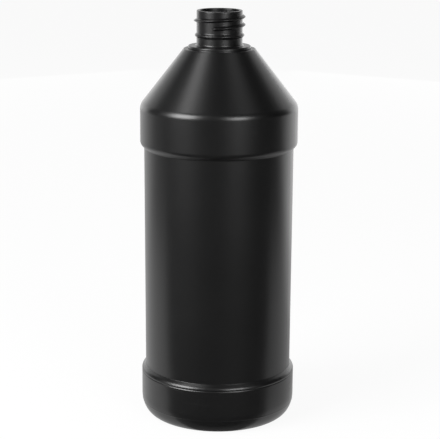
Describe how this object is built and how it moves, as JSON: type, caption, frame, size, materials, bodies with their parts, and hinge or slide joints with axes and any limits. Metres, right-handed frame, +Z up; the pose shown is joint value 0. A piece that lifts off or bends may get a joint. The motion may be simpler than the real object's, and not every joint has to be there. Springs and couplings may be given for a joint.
{
  "type": "plastic bottle",
  "caption": "Tall round opaque plastic bottle with bumper bands, a recessed label panel, a conical shoulder and a threaded neck, shown without its cap.",
  "frame": {"origin": "centre of the base, on the surface that the bottle stands on", "axes": "+Z runs up the bottle's axis and out of the mouth; -Y faces the viewer of the picture and +X is to the viewer's right"},
  "size_m": [0.0848, 0.0848, 0.2229],
  "materials": {
    "bottle_plastic": "satin black"
  },
  "bodies": {
    "root": {"bottle": "bottle_plastic"}
  },
  "joints": []
}
